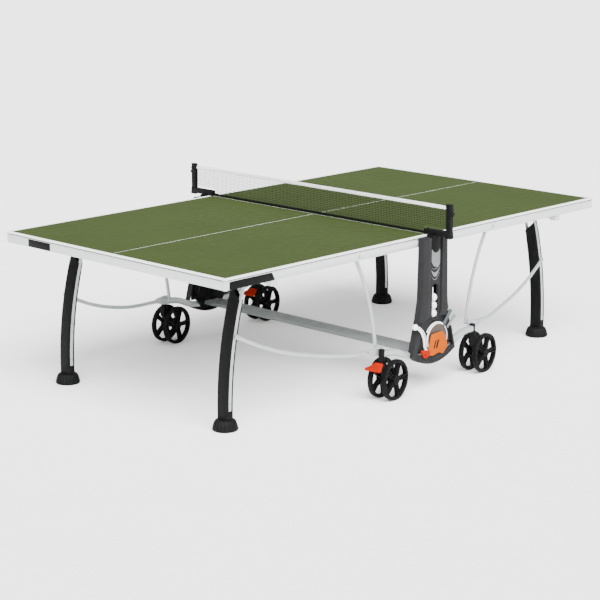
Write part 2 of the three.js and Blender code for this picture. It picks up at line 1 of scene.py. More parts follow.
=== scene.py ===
"""Looks for the folding ping pong table: camera, light, materials and detailed pieces on the CAD frame.

Shapes are (points, faces) pairs drawn in millimetres in the table's own frame: X along it, Y across
it, Z up.  Pillar parts are drawn for the far side and turned half a turn for the near side; corner
parts are drawn for the right far corner and mirrored.  piece() turns a shape into an object in metres.
"""
import json
import math
import bmesh
import bpy
from mathutils import Matrix, Vector


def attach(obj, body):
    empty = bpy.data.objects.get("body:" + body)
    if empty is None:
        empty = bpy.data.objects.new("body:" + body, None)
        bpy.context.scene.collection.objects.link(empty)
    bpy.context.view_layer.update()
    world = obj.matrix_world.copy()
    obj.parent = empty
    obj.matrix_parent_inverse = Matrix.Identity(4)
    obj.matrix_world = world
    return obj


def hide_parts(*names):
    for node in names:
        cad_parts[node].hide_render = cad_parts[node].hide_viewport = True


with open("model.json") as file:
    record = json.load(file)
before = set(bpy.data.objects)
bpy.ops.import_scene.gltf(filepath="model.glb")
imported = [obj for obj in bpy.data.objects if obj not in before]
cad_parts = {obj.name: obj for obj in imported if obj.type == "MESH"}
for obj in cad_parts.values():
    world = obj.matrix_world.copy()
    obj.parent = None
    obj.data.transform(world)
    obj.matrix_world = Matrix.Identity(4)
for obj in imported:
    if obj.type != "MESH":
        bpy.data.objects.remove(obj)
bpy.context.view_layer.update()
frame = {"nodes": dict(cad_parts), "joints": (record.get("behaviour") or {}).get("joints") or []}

# ---------- sizes, in millimetres, the same as the CAD part's ----------
MM = 0.001
SIDES_X = (("left", -1), ("right", 1))
SIDES_Y = (("near", -1), ("far", 1))
CORNERS = [(f"{name_y}_{name_x}", name_x, side_x, side_y)
           for name_x, side_x in SIDES_X for name_y, side_y in SIDES_Y]
HALF_LENGTH = 1370
HALF_WIDTH = 762.5
SURFACE = 760
LINE_WIDTH = 20
CENTRE_LINE = 2
APRON_FACE = 757.5
APRON_END = 1365
APRON_Z = (708, 752)

STRUT_TOP = (502, 728)
STRUT_FOOT = (345, 256)
STRUT_Y = 724
STRUT_BOW = 28
STAY_PATH = [(405, 737, 250), (490, 736, 251), (560, 721, 256), (690, 686, 275), (860, 655, 315),
             (1010, 626, 369), (1142, 602, 434)]
BAR_HALF = [(60, 784, 170), (106, 783, 174), (160, 769, 188), (200, 766, 205), (245, 766, 222),
            (300, 766, 231), (345, 766, 231)]

LEG_Y = 557
LEG_WIDTH = 70
LEG_DEPTH = 40
LEG_FOOT_X = 1178
LEG_BEND_START = 100
LEG_RADIUS = 1730
LEG_BOTTOM = 53
SHELL_TOP = (553, 10, 42)
CAP_TOP = (588, 14, 62)
GROOVE_BOTTOM = 89
GROOVE_WIDTH = 22
GROOVE_DEPTH = 9.5

PILLAR_FACE = 812
PILLAR_TOP = 751
PILLAR_FOOT = (160, 178)
FOOT_SAG = 52
UPPER = (94, 450)
WAIST = (117, 345)
PILLAR_PANEL = 797
PANEL_FACE = 804
BALL = 40
BALL_Y = 790.5
BALL_BOTTOM = 355
SLOT = (353, 522)
CASTER_X = 345
CASTER_Y = 766
CASTER_SWIVEL = 6
WHEEL_WIDTH = 25
SPOKES = 5
PEDAL_TILT = 20
PEDAL_HINGE = (-22, 186)

NET_BOTTOM = 763
NET_TOP = 912.5
TAPE_HEIGHT = 17
NET_REACH = 868
NET_SKIRT = 734
ARM_TOP = 792
THREAD = 1.7
MESH_ACROSS = 10
MESH_UP = 9


# ---------- shapes ----------
def joined(*shapes):
    points = []
    faces = []
    for more_points, more_faces in shapes:
        start = len(points)
        points += more_points
        faces += [tuple(start + i for i in face) for face in more_faces]
    return points, faces


def changed(shape, matrix):
    points, faces = shape
    return [tuple(matrix @ Vector(p)) for p in points], faces


def shifted(shape, x, y, z):
    return changed(shape, Matrix.Translation((x, y, z)))


def mirrored(shape, side_x, side_y=1):
    return changed(shape, Matrix.Diagonal((side_x, side_y, 1, 1)))


def turned_to(shape, side_y):
    """A pillar part drawn for the far side, turned half a turn for the near side."""
    return changed(shape, Matrix.Rotation(math.pi, 4, "Z")) if side_y < 0 else shape


def of_mesh(mesh):
    return [tuple(v.co) for v in mesh.verts], [tuple(v.index for v in f.verts) for f in mesh.faces]


def block(low, high, bevel=1.5, segments=2):
    """A box with rounded edges between two corners."""
    mesh = bmesh.new()
    bmesh.ops.create_cube(mesh, size=1)
    low, high = Vector(low), Vector(high)
    size = high - low
    for v in mesh.verts:
        v.co = low + Vector((v.co[i] + 0.5) * size[i] for i in range(3))
    bmesh.ops.bevel(mesh, geom=list(mesh.edges), offset=bevel, segments=segments, profile=0.5,
                    affect="EDGES")
    mesh.verts.index_update()
    shape = of_mesh(mesh)
    mesh.free()
    return shape


def rounded(width, height, radius, steps=4):
    """A rounded rectangle, as a section."""
    corners = ((1, 1, 0), (-1, 1, 90), (-1, -1, 180), (1, -1, 270))
    section = []
    for sx, sy, start in corners:
        for i in range(steps + 1):
            angle = math.radians(start + 90 * i / steps)
            section.append((sx * (width / 2 - radius) + radius * math.cos(angle),
                            sy * (height / 2 - radius) + radius * math.sin(angle)))
    return section


def tube_faces(around, rows, ends=()):
    """Faces between rows of points that each close on themselves; ends lists the rows to cap."""
    faces = [(i * around + j, i * around + (j + 1) % around, (i + 1) * around + (j + 1) % around,
              (i + 1) * around + j) for i in range(rows) for j in range(around)]
    return faces + [tuple(range(row * around, (row + 1) * around)) for row in ends]


def circle(radius, steps=16):
    return [(radius * math.cos(math.tau * i / steps), radius * math.sin(math.tau * i / steps))
            for i in range(steps)]


def swept(path, section, caps=True, side=(0, 1, 0)):
    """A section of (across, up) points carried along a path; across stays level with `side`."""
    path = [Vector(p) for p in path]
    points = []
    for i, at in enumerate(path):
        tangent = (path[min(i + 1, len(path) - 1)] - path[max(i - 1, 0)]).normalized()
        across = Vector(side)
        across = (across - tangent * across.dot(tangent)).normalized()
        up = tangent.cross(across)
        points += [tuple(at + across * a + up * b) for a, b in section]
    last = len(path) - 1
    return points, tube_faces(len(section), last, (0, last) if caps else ())


def smooth(points, steps=6):
    """A finer path through the points (Catmull-Rom)."""
    points = [Vector(p) for p in points]
    ends = [points[0] * 2 - points[1], *points, points[-1] * 2 - points[-2]]
    path = []
    for i in range(1, len(ends) - 2):
        a, b, c, d = ends[i - 1:i + 3]
        for k in range(steps):
            t = k / steps
            path.append(0.5 * (2 * b + (c - a) * t + (2 * a - 5 * b + 4 * c - d) * t ** 2
                               + (3 * b - a - 3 * c + d) * t ** 3))
    return [*path, points[-1]]


def lathe(profile, steps=48, flutes=0, flute_depth=0.0):
    """(radius, height) points turned about Z, with rounded flutes if asked for."""
    points = []
    for radius, z in profile:
        for i in range(steps):
            angle = math.tau * i / steps
            r = radius - flute_depth * (0.5 - 0.5 * math.cos(flutes * angle)) * min(1, radius / 20)
            points.append((r * math.cos(angle), r * math.sin(angle), z))
    return points, tube_faces(steps, len(profile) - 1)


def along_y(shape, x, y, z, side=1):
    """A turned shape laid over so that its axis points outwards along Y."""
    return shifted(changed(shape, Matrix.Rotation(-side * math.pi / 2, 4, "X")), x, y, z)


def plate(outline, low, high, holes=(), bevel=1.0):
    """A flat plate cut to an outline of (x, z) points, from y = low to high, with soft edges."""
    curve = bpy.data.curves.new("outline", "CURVE")
    curve.dimensions = "2D"
    curve.fill_mode = "BOTH"
    curve.extrude = (high - low) / 2 - bevel
    curve.bevel_depth = bevel
    curve.bevel_resolution = 2
    curve.offset = -bevel
    for ring in (outline, *holes):
        spline = curve.splines.new("POLY")
        spline.points.add(len(ring) - 1)
        for point, (x, z) in zip(spline.points, ring):
            point.co = (x, z, 0, 1)
        spline.use_cyclic_u = True
    holder = bpy.data.objects.new("outline", curve)
    mesh = bpy.data.meshes.new_from_object(holder)
    middle = (low + high) / 2
    points = [(v.co.x, middle - v.co.z, v.co.y) for v in mesh.vertices]
    faces = [tuple(p.vertices) for p in mesh.polygons]
    bpy.data.objects.remove(holder)
    bpy.data.curves.remove(curve)
    bpy.data.meshes.remove(mesh)
    return points, faces


def softened(outline, steps=4, pull=0.25):
    """The outline with each corner rounded off."""
    result = []
    n = len(outline)
    for i in range(n):
        before, at, after = (Vector(outline[(i + k) % n]) for k in (-1, 0, 1))
        start = at.lerp(before, pull)
        end = at.lerp(after, pull)
        for k in range(steps + 1):
            t = k / steps
            result.append(tuple(start.lerp(at, t).lerp(at.lerp(end, t), t)))
    return result


def bolt(x, y, z, side, radius=6, height=3):
    """A round bolt head on a washer, facing outwards along Y."""
    profile = [(radius * 1.5, -0.5), (radius * 1.5, 0.8), (radius * 1.4, 1.1), (radius, 1.1),
               (radius, height * 0.7), (radius * 0.8, height), (radius * 0.45, height),
               (radius * 0.4, height * 0.5), (0, height * 0.5)]
    return along_y(lathe(profile, 20), x, y, z, side)


def piece(name, shape, look, body, replaces=(), angle=32):
    """An object in metres from a shape in millimetres, riding on a body."""
    points, faces = shape
    data = bpy.data.meshes.new(name)
    mesh = bmesh.new()
    verts = [mesh.verts.new(Vector(p) * MM) for p in points]
    for face in faces:
        mesh.faces.new([verts[i] for i in face])
    bmesh.ops.remove_doubles(mesh, verts=mesh.verts, dist=1e-6)
    bmesh.ops.recalc_face_normals(mesh, faces=mesh.faces)
    for face in mesh.faces:
        face.smooth = True
    mesh.to_mesh(data)
    mesh.free()
    data.set_sharp_from_angle(angle=math.radians(angle))
    data.materials.append(look)
    item = bpy.data.objects.new(name, data)
    bpy.context.scene.collection.objects.link(item)
    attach(item, body)
    if replaces:
        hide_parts(*replaces)
    return item


# ---------- materials ----------
def linear(red, green, blue):
    def one(value):
        value /= 255
        return value / 12.92 if value <= 0.04045 else ((value + 0.055) / 1.055) ** 2.4
    return (one(red), one(green), one(blue), 1.0)


class Look:
    """A procedural material: mottled colour, uneven roughness, fine bump and worn edges."""

    def __init__(self, name, color, roughness, metal=0.0):
        self.material = bpy.data.materials.new(name)
        self.material.use_nodes = True
        self.tree = self.material.node_tree
        self.shader = self.tree.nodes["Principled BSDF"]
        self.shader.inputs["Metallic"].default_value = metal
        self.shader.inputs["Roughness"].default_value = roughness
        self.place = self.add("ShaderNodeTexCoord").outputs["Object"]
        self.material.diffuse_color = color
        self.color = self.add("ShaderNodeRGB").outputs[0]
        self.color.default_value = color
        self.roughness = roughness

    def add(self, kind, **settings):
        node = self.tree.nodes.new(kind)
        for key, value in settings.items():
            setattr(node, key, value)
        return node

    def wire(self, source, target):
        self.tree.links.new(source, target)

    def noise(self, size_mm, detail=3.0, stretch=(1, 1, 1)):
        mapping = self.add("ShaderNodeMapping")
        mapping.inputs["Scale"].default_value = stretch
        noise = self.add("ShaderNodeTexNoise")
        noise.inputs["Scale"].default_value = 1 / (size_mm * MM)
        noise.inputs["Detail"].default_value = detail
        self.wire(self.place, mapping.inputs["Vector"])
        self.wire(mapping.outputs[0], noise.inputs["Vector"])
        return noise.outputs["Fac"]

    def ranged(self, source, low, high, start=0.3, end=0.7):
        node = self.add("ShaderNodeMapRange")
        node.inputs["From Min"].default_value = start
        node.inputs["From Max"].default_value = end
        node.inputs["To Min"].default_value = low
        node.inputs["To Max"].default_value = high
        self.wire(source, node.inputs["Value"])
        return node.outputs["Result"]

    def math(self, operation, first, second):
        node = self.add("ShaderNodeMath", operation=operation)
        for socket, value in zip(node.inputs, (first, second)):
            if isinstance(value, (int, float)):
                socket.default_value = value
            else:
                self.wire(value, socket)
        return node.outputs[0]

    def mix(self, factor, other):
        """The colour so far, with another laid over it where factor is 1."""
        node = self.add("ShaderNodeMix", data_type="RGBA")
        self.wire(factor, node.inputs["Factor"])
        self.wire(self.color, node.inputs["A"])
        if isinstance(other, tuple):
            node.inputs["B"].default_value = other
        else:
            self.wire(other, node.inputs["B"])
        self.color = node.outputs["Result"]
        return self

    def mottle(self, amount, size_mm, stretch=(1, 1, 1)):
        """Lighter and darker patches of the colour so far."""
        strength = self.ranged(self.noise(size_mm, 4, stretch), 1 - amount, 1 + amount)
        node = self.add("ShaderNodeVectorMath", operation="SCALE")
        self.wire(self.color, node.inputs[0])
        self.wire(strength, node.inputs["Scale"])
        self.color = node.outputs[0]
        return self

    def uneven(self, amount, size_mm, stretch=(1, 1, 1)):
        patches = self.noise(size_mm, 4, stretch)
        rough = self.ranged(patches, self.roughness - amount, self.roughness + amount)
        self.wire(rough, self.shader.inputs["Roughness"])
        return self

    def worn(self, color, start=0.53, end=0.62, amount=0.5):
        """Edges rubbed lighter, where the surface bends sharply outwards."""
        point = self.add("ShaderNodeNewGeometry").outputs["Pointiness"]
        patches = self.ranged(self.noise(18, 3), 0.3, 1.0)
        edge = self.math("MULTIPLY", self.ranged(point, 0, amount, start, end), patches)
        return self.mix(edge, color)

    def grain(self, strength, size_mm, depth_mm=0.1, stretch=(1, 1, 1)):
        return self.bump(self.noise(size_mm, 2, stretch), strength, depth_mm)

    def bump(self, height, strength, depth_mm):
        node = self.add("ShaderNodeBump")
        node.inputs["Strength"].default_value = strength
        node.inputs["Distance"].default_value = depth_mm * MM
        self.wire(height, node.inputs["Height"])
        self.wire(node.outputs[0], self.shader.inputs["Normal"])
        return self

    def done(self, **inputs):
        self.wire(self.color, self.shader.inputs["Base Color"])
        for name, value in inputs.items():
            self.shader.inputs[name.replace("_", " ")].default_value = value
        return self.material


WHITE_PAINT = linear(226, 229, 224)


def laminate():
    """Green playing surface with white edge lines, a thin centre line and white cut edges."""
    look = Look("green_laminate", linear(46, 57, 25), 0.65)
    look.mottle(0.05, 260).mottle(0.03, 3)
    axes = look.add("ShaderNodeSeparateXYZ")
    look.wire(look.place, axes.inputs[0])
    along = look.math("ABSOLUTE", axes.outputs["X"], 0)
    across = look.math("ABSOLUTE", axes.outputs["Y"], 0)
    end = look.math("GREATER_THAN", along, (HALF_LENGTH - LINE_WIDTH) * MM)
    side = look.math("GREATER_THAN", across, (HALF_WIDTH - LINE_WIDTH) * MM)
    middle = look.math("LESS_THAN", across, CENTRE_LINE / 2 * MM)
    cut = look.math("LESS_THAN", axes.outputs["Z"], (SURFACE - 0.4) * MM)
    lines = look.math("MAXIMUM", look.math("MAXIMUM", end, side), look.math("MAXIMUM", middle, cut))
    look.mix(lines, WHITE_PAINT)
    look.uneven(0.07, 40).grain(0.18, 1.2, 0.05)
    return look.done(Specular_IOR_Level=0.1)


def make_looks():
    looks = {"laminate": laminate()}
    looks["white_steel"] = (Look("white_steel", linear(196, 198, 200), 0.45)
                            .mottle(0.03, 120).worn(linear(150, 152, 155)).uneven(0.06, 30)
                            .grain(0.15, 1.5, 0.06).done(Coat_Weight=0.1))
    looks["silver"] = (Look("silver_tube", linear(166, 172, 172), 0.36, 0.5)
                       .mottle(0.05, 60).worn(linear(228, 232, 234)).uneven(0.08, 25)
                       .grain(0.14, 0.8, 0.05).done())
    looks["grey_steel"] = (Look("grey_steel", linear(112, 117, 116), 0.5, 0.3)
                           .mottle(0.06, 70).uneven(0.08, 25).grain(0.2, 1.0, 0.06).done())
    looks["zinc"] = (Look("zinc_steel", linear(160, 165, 168), 0.34, 0.85)
                     .mottle(0.12, 9).uneven(0.1, 14).grain(0.2, 0.6, 0.04, (1, 1, 0.1)).done())
    looks["black_steel"] = dark("black_steel", 8, 0.5, 50)
    looks["dark_plastic"] = dark("dark_plastic", 34, 0.6, 90)
    looks["leg_plastic"] = dark("leg_plastic", 10, 0.55, 70)
    looks["black_plastic"] = dark("black_plastic", 12, 0.55, 60)
    looks["tyre"] = dark("tyre_plastic", 8, 0.6, 35)
    for name, color in (("orange", linear(162, 72, 0)), ("deep_orange", linear(146, 26, 0))):
        looks[name] = (Look(f"{name}_plastic", color, 0.6).mottle(0.05, 30).uneven(0.06, 12)
                       .grain(0.2, 0.8, 0.05).done(Specular_IOR_Level=0.03))
    looks["white_plastic"] = (Look("white_plastic", linear(240, 240, 238), 0.4)
                              .mottle(0.025, 25).uneven(0.06, 10).grain(0.12, 0.7, 0.04)
                              .done(Subsurface_Weight=0.05, Subsurface_Scale=0.004))
    looks["rubber"] = dimpled_rubber()
    for shade, color in (("dark", linear(40, 52, 56)), ("grey", linear(120, 120, 124))):
        looks[f"grip_{shade}"] = (Look(f"{shade}_grip", color, 0.5).mottle(0.12, 8)
                                  .uneven(0.08, 8).grain(0.35, 0.7, 0.08).done())
    looks["light_panel"] = (Look("light_grey_plastic", linear(104, 105, 108), 0.5)
                            .mottle(0.05, 25).uneven(0.07, 12).grain(0.2, 0.8, 0.05).done())
    looks["net"] = woven("net_thread", linear(12, 15, 7), 0.85)
    looks["hem"] = woven("net_hem", linear(10, 12, 8), 0.8)
    looks["tape"] = woven("net_tape_cloth", linear(236, 238, 235), 0.8, 0.2)
    return looks


def dark(name, shade, roughness, patch_mm):
    """Dark moulded plastic or powder coat: patchy, finely grained, rubbed lighter at its edges."""
    look = Look(name, linear(shade, shade, shade + 1), roughness)
    look.mottle(0.09, patch_mm).worn(linear(shade * 2.2, shade * 2.2, shade * 2.2), amount=0.4)
    return look.uneven(0.08, 15).grain(0.3, 0.9, 0.08).done(Specular_IOR_Level=0.08)


def dimpled_rubber():
    """A bat's rubber face, with its fine rows of pimples."""
    look = Look("bat_rubber", linear(58, 48, 40), 0.6).mottle(0.08, 20)
    cells = look.add("ShaderNodeTexVoronoi")
    cells.inputs["Scale"].default_value = 1 / (2.0 * MM)
    cells.inputs["Randomness"].default_value = 0.1
    look.wire(look.place, cells.inputs["Vector"])
    return look.uneven(0.06, 10).bump(cells.outputs["Distance"], 0.5, 0.4).done()


def woven(name, color, roughness, sheen=0.0):
    """A plain weave of crossing yarns, half a millimetre apart."""
    look = Look(name, color, roughness).mottle(0.12, 14).mottle(0.1, 1.2)
    height = None
    for direction in ("Y", "Z"):
        wave = look.add("ShaderNodeTexWave", bands_direction=direction)
        wave.inputs["Scale"].default_value = 1 / (3.2 * MM) / 2
        wave.inputs["Distortion"].default_value = 0.6
        look.wire(look.place, wave.inputs["Vector"])
        yarns = wave.outputs["Fac"]
        height = yarns if height is None else look.math("MULTIPLY", height, yarns)
    return look.uneven(0.06, 8).bump(height, 0.5, 0.25).done(Sheen_Weight=sheen, Specular_IOR_Level=0.1)


LOOKS = make_looks()


def dress_cad_nodes():
    """A detailed material and softened edges on every CAD node that stays."""
    looks = {"playing_surface": "laminate", "top_frame": "white_steel", "leg_frame": "silver",
             "leg_shell": "dark_plastic", "foot": "black_plastic", "strut": "silver", "stay": "silver",
             "carriage": "zinc", "caster_fork": "black_plastic", "wheel": "tyre",
             "brake_pedal": "deep_orange", "pillar_cover": "dark_plastic", "guide_plate": "black_steel",
             "wheel_bar": "silver", "net_bracket": "black_plastic", "ball_stack": "white_plastic",
             "ball_guide": "white_plastic", "stored_bat": "rubber", "release_handle": "orange",
             "cross_beam": "grey_steel", "net": "net", "net_tape": "tape"}
    for name, node in frame["nodes"].items():
        part = max((key for key in looks if name.endswith(key)), key=len)
        node.data.materials.clear()
        node.data.materials.append(LOOKS[looks[part]])
        if part == "playing_surface":
            continue
        node.data.polygons.foreach_set("use_smooth", [True] * len(node.data.polygons))
        node.data.set_sharp_from_angle(angle=math.radians(32))
        weld = node.modifiers.new("weld", "WELD")
        weld.merge_threshold = 0.00002
        bevel = node.modifiers.new("soft_edges", "BEVEL")
        bevel.width = 0.0008
        bevel.segments = 2
        bevel.limit_method = "ANGLE"
        bevel.angle_limit = math.radians(40)
        bevel.harden_normals = True


# ---------- table tops ----------
def top_fittings(side_x):
    """Corner posts, end screws and strut pin heads on one half's aprons."""
    low, high = APRON_Z
    corners = []
    metal = []
    for side_y in (-1, 1):
        post = swept([(APRON_END - 9, APRON_FACE - 9, low - 1), (APRON_END - 9, APRON_FACE - 9, high)],
                     rounded(21, 21, 7), side=(0, 1, 0))
        corners.append(mirrored(post, side_x, side_y))
        for along in (APRON_END - 12, 34):
            for z in (low + 12, high - 12):
                metal.append(bolt(side_x * along, side_y * APRON_FACE, z, side_y, 2.6, 1.4))
        metal.append(bolt(side_x * STRUT_TOP[0], side_y * APRON_FACE, STRUT_TOP[1], side_y, 7, 4))
    return joined(*corners), joined(*metal)


def top_shadow_strip(side_x):
    """Painted shadow: a thin black strip standing for the shadow gap between a playing surface and its
    apron, along three sides.
    """
    parts = []
    low, high = 748.8, 753.6
    inner, outer = sorted((side_x * 6, side_x * (APRON_END + 0.4)))
    for side_y in (-1, 1):
        near, far = sorted((side_y * (APRON_FACE - 3), side_y * (APRON_FACE + 0.5)))
        parts.append(block((inner, near, low), (outer, far, high), 0.3, 1))
    start, end = sorted((side_x * (APRON_END - 3), side_x * (APRON_END + 0.5)))
    parts.append(block((start, -APRON_FACE, low), (end, APRON_FACE, high), 0.3, 1))
    return joined(*parts)


def label_panel(outline, side_y):
    """A plain raised panel on a side apron."""
    shape = plate(softened(outline, 3, 0.08), APRON_FACE - 0.3, APRON_FACE + 0.8, bevel=0.3)
    return changed(shape, Matrix.Diagonal((1, side_y, 1, 1)))


def build_tops():
    for name, side_x in SIDES_X:
        body = f"{name}_top"
        corners, metal = top_fittings(side_x)
        piece(f"{name}_apron_corners", corners, LOOKS["white_steel"], body)
        piece(f"{name}_apron_bolts", metal, LOOKS["silver"], body)
        # A black strip along the apron's top edge: painted shadow for the gap under the playing
        # surface.
        piece(f"{name}_top_shadow_strip", top_shadow_strip(side_x), LOOKS["black_plastic"], body)
    long_panel = [(-1340, 708), (-1058, 708), (-1078, 745), (-1340, 745)]
    piece("near_left_apron_panel", label_panel(long_panel, -1), LOOKS["black_steel"], "left_top")
    far_panel = [(-x, z) for x, z in long_panel]
    piece("far_right_apron_panel", label_panel(far_panel, 1), LOOKS["black_steel"], "right_top")
    for name, side_x in SIDES_X:
        face = side_x * APRON_END
        low_y, high_y = sorted((-side_x * 594, -side_x * 430))
        low_x, high_x = sorted((face, face + side_x))
        shape = block((low_x, low_y, 709), (high_x, high_y, 746), 0.4)
        piece(f"{name}_end_panel", shape, LOOKS["black_plastic"], f"{name}_top")


# ---------- legs ----------
def leg_centre(z):
    above = max(0.0, z - LEG_BEND_START)
    return LEG_FOOT_X - (LEG_RADIUS - math.sqrt(LEG_RADIUS ** 2 - above ** 2))


def leg_column(section, bottom, top_of, steps=24, roof=False):
    """A section of (y, x) points run up the leg's curve, each point to its own height."""
    points = []
    for i in range(steps + 1):
        for across, along in section:
            z = bottom + (top_of(across, along) - bottom) * i / steps
            points.append((leg_centre(z) + along, LEG_Y + across, z))
    return points, tube_faces(len(section), steps, (0, steps) if roof else (0,))


def notched_section(width, depth, radius, notch_width, notch_depth):
    """A rounded rectangle with a square groove down the middle of both wide-apart sides."""
    half = width / 2
    section = rounded(width, depth, radius, 5)
    result = []
    n = len(section)
    for i in range(n):
        result.append(section[i])
        here, after = section[i], section[(i + 1) % n]
        if abs(abs(here[0]) - half) < 0.01 and abs(abs(after[0]) - half) < 0.01:
            side = math.copysign(1, here[0])
            turn = math.copysign(1, after[1] - here[1])
            for inset, y in ((0, -turn), (notch_depth, -turn), (notch_depth, turn), (0, turn)):
                result.append((side * (half - inset), y * notch_width / 2))
    return result


def slanted_top(corner, rise_out, rise_side, lean):
    """Heights of a slanted top over the leg's section; lean says which side of the leg is higher."""
    def height(across, along):
        low_x = leg_centre(corner) - LEG_DEPTH / 2
        z = corner
        for _ in range(12):
            out = leg_centre(z) + along - low_x
            z = corner + rise_out * out / LEG_DEPTH + rise_side * (lean * across / LEG_WIDTH + 0.5)
        return z
    return height


def leg_shell(lean):
    outline = notched_section(LEG_WIDTH, LEG_DEPTH, 9, GROOVE_WIDTH, GROOVE_DEPTH)
    foot = leg_column(rounded(LEG_WIDTH, LEG_DEPTH, 9, 5), LEG_BOTTOM,
                      lambda across, along: GROOVE_BOTTOM, 3)
    return joined(leg_column(outline, GROOVE_BOTTOM, slanted_top(*SHELL_TOP, lean), roof=True), foot)


def leg_cap(lean):
    """The black collar in the top of a leg: a slanted open mouth that shows a dark hollow."""
    top = slanted_top(*CAP_TOP, lean)
    outline = notched_section(LEG_WIDTH - 1.6, LEG_DEPTH - 1.6, 9, GROOVE_WIDTH, GROOVE_DEPTH)
    hollow = rounded(LEG_WIDTH - 2 * GROOVE_DEPTH - 8, LEG_DEPTH - 8, 5, 5)
    return joined(leg_column(outline, 540, top), leg_column(hollow, 541, top),
                  mouth_rim(outline, hollow, top))


def mouth_rim(outline, hollow, top):
    """The slanted face between the leg's outline and its hollow, filled between the two loops."""
    mesh = bmesh.new()
    for section in (outline, hollow):
        ring = []
        for across, along in section:
            z = top(across, along)
            ring.append(mesh.verts.new((leg_centre(z) + along, LEG_Y + across, z)))
        for i, vert in enumerate(ring):
            mesh.edges.new((vert, ring[(i + 1) % len(ring)]))
    bmesh.ops.triangle_fill(mesh, use_beauty=True, edges=list(mesh.edges))
    mesh.verts.index_update()
    shape = of_mesh(mesh)
    mesh.free()
    return shape


def leg_fittings():
    """Bolts through the rails and the stay's pivot bolt."""
    parts = []
    for z in (130, 300, 470):
        parts.append(bolt(leg_centre(z), LEG_Y + 33.5, z, 1, 4.5, 2.6))
        parts.append(bolt(leg_centre(z), LEG_Y - 33.5, z, -1, 4.5, 2.6))
    parts.append(bolt(STAY_PATH[-1][0], STAY_PATH[-1][1] + 5, STAY_PATH[-1][2], 1, 6, 3.5))
    return joined(*parts)


def foot_pad():
    profile = [(0, 0), (54, 0), (58, 1.5), (60, 5), (60, 11), (58.5, 16), (56, 26), (52, 37),
               (48.5, 44), (44, 49), (38, 51.5), (20, 52), (9, 52), (9, 60), (0, 60)]
    return shifted(lathe(profile, 96, 24, 2.4), LEG_FOOT_X, LEG_Y, 0)


def build_legs():
    for corner, half, side_x, side_y in CORNERS:
        def make(part, shape, look, slot=None, body=f"{half}_legs", replaces=()):
            piece(f"{corner}_{part}", mirrored(shape, side_x, side_y), LOOKS[look], body,
                  [f"{corner}_{node}" for node in replaces])
        lean = -side_x * side_y
        make("leg_body", leg_shell(lean), "leg_plastic", "dark_plastic", replaces=["leg_shell"])
        make("leg_cap", leg_cap(lean), "black_plastic")
        make("leg_bolts", leg_fittings(), "zinc", "zinc_steel")
        make("foot_pad", foot_pad(), "black_plastic", None, f"{corner}_foot", ["foot"])


# ---------- folding links ----------
def link_eye(x, y, z, half):
    """The round end of a link, with chamfered edges."""
    profile = [(0, -half), (9.5, -half), (11, 1.2 - half), (11, half - 1.2), (9.5, half), (0, half)]
    return along_y(lathe(profile, 32), x, y, z)


def strut_shape():
    (x0, z0), (x1, z1) = STRUT_FOOT, STRUT_TOP
    run_x, run_z = x1 - x0, z1 - z0
    length = math.hypot(run_x, run_z)
    path = []
    for i in range(25):
        t = i / 24
        offset = 4 * STRUT_BOW * t * (1 - t)
        path.append((x0 + run_x * t - run_z / length * offset, STRUT_Y,
                     z0 + run_z * t + run_x / length * offset))
    eyes = [link_eye(x, STRUT_Y, z, 6) for x, z in (STRUT_FOOT, STRUT_TOP)]
    return joined(swept(path, rounded(12, 18, 4)), *eyes)


def stay_shape():
    eyes = [link_eye(*STAY_PATH[end], 5.5) for end in (0, -1)]
    return joined(swept(smooth(STAY_PATH, 8), rounded(11, 18, 4)), *eyes)


def build_links():
    for corner, _, side_x, side_y in CORNERS:
        for link, shape in (("strut", strut_shape()), ("stay", stay_shape())):
            node = f"{corner}_{link}"
            piece(f"{node}_tube", mirrored(shape, side_x, side_y), LOOKS["silver"], node,
                  [node])


# ---------- wheel bars ----------
def bar_shape():
    path = [(-x, y, z) for x, y, z in reversed(BAR_HALF)] + [(0, 784, 169)] + BAR_HALF
    parts = [swept(smooth(path, 7), rounded(26, 32, 7))]
    parts.append(block((-44, 769.7, 156), (44, 784, 182), 1.5))
    bracket = [(326, 222), (362, 222), (416, 238), (418, 258), (398, 264), (350, 270), (330, 266)]
    outline = softened(bracket, 3, 0.2)
    pin = [(0, 0), (5, 0), (5, 16), (4.4, 17), (0, 17)]
    for side in (-1, 1):
        corner = [plate(outline, 746, 755, bevel=1.2),
                  along_y(lathe(pin, 20), STRUT_FOOT[0], 731, STRUT_FOOT[1]),
                  along_y(lathe(pin, 20), STAY_PATH[0][0], 731.5, STAY_PATH[0][2])]
        parts.append(mirrored(joined(*corner), side))
    return joined(*parts)


def bar_sleeves():
    """The black swivel sleeves at the ends of the bar, with their plugs."""
    profile = [(9.5, -18), (13, -18), (14.4, -16), (14.4, 17), (15.4, 18), (15.4, 20.5), (14, 23),
               (10, 25), (0, 25.6)]
    sleeve = shifted(lathe(profile, 40), CASTER_X, CASTER_Y, 231)
    return joined(sleeve, mirrored(sleeve, -1))


def link_bolts():
    """Bolt heads on the brackets that hold the struts and stays."""
    heads = [bolt(side * x, 755, z, 1, 5.5, 4) for side in (-1, 1)
             for x, z in (STRUT_FOOT, (STAY_PATH[0][0], STAY_PATH[0][2]))]
    return joined(*heads)


# ---------- pillars ----------
def outline_half(z):
    """Half the pillar's width at a height: narrow at the top, flaring from the waist to the foot."""
    upper, upper_z = UPPER
    waist, waist_z = WAIST
    foot, foot_z = PILLAR_FOOT
    if z >= upper_z:
        return upper - 8 * (z - upper_z) / 305
    if z >= waist_z:
        t = (upper_z - z) / (upper_z - waist_z)
        return upper + (waist - upper) * (0.6 * t * t + 0.4 * t)
    return waist + (foot - waist) * (waist_z - z) / (waist_z - foot_z)


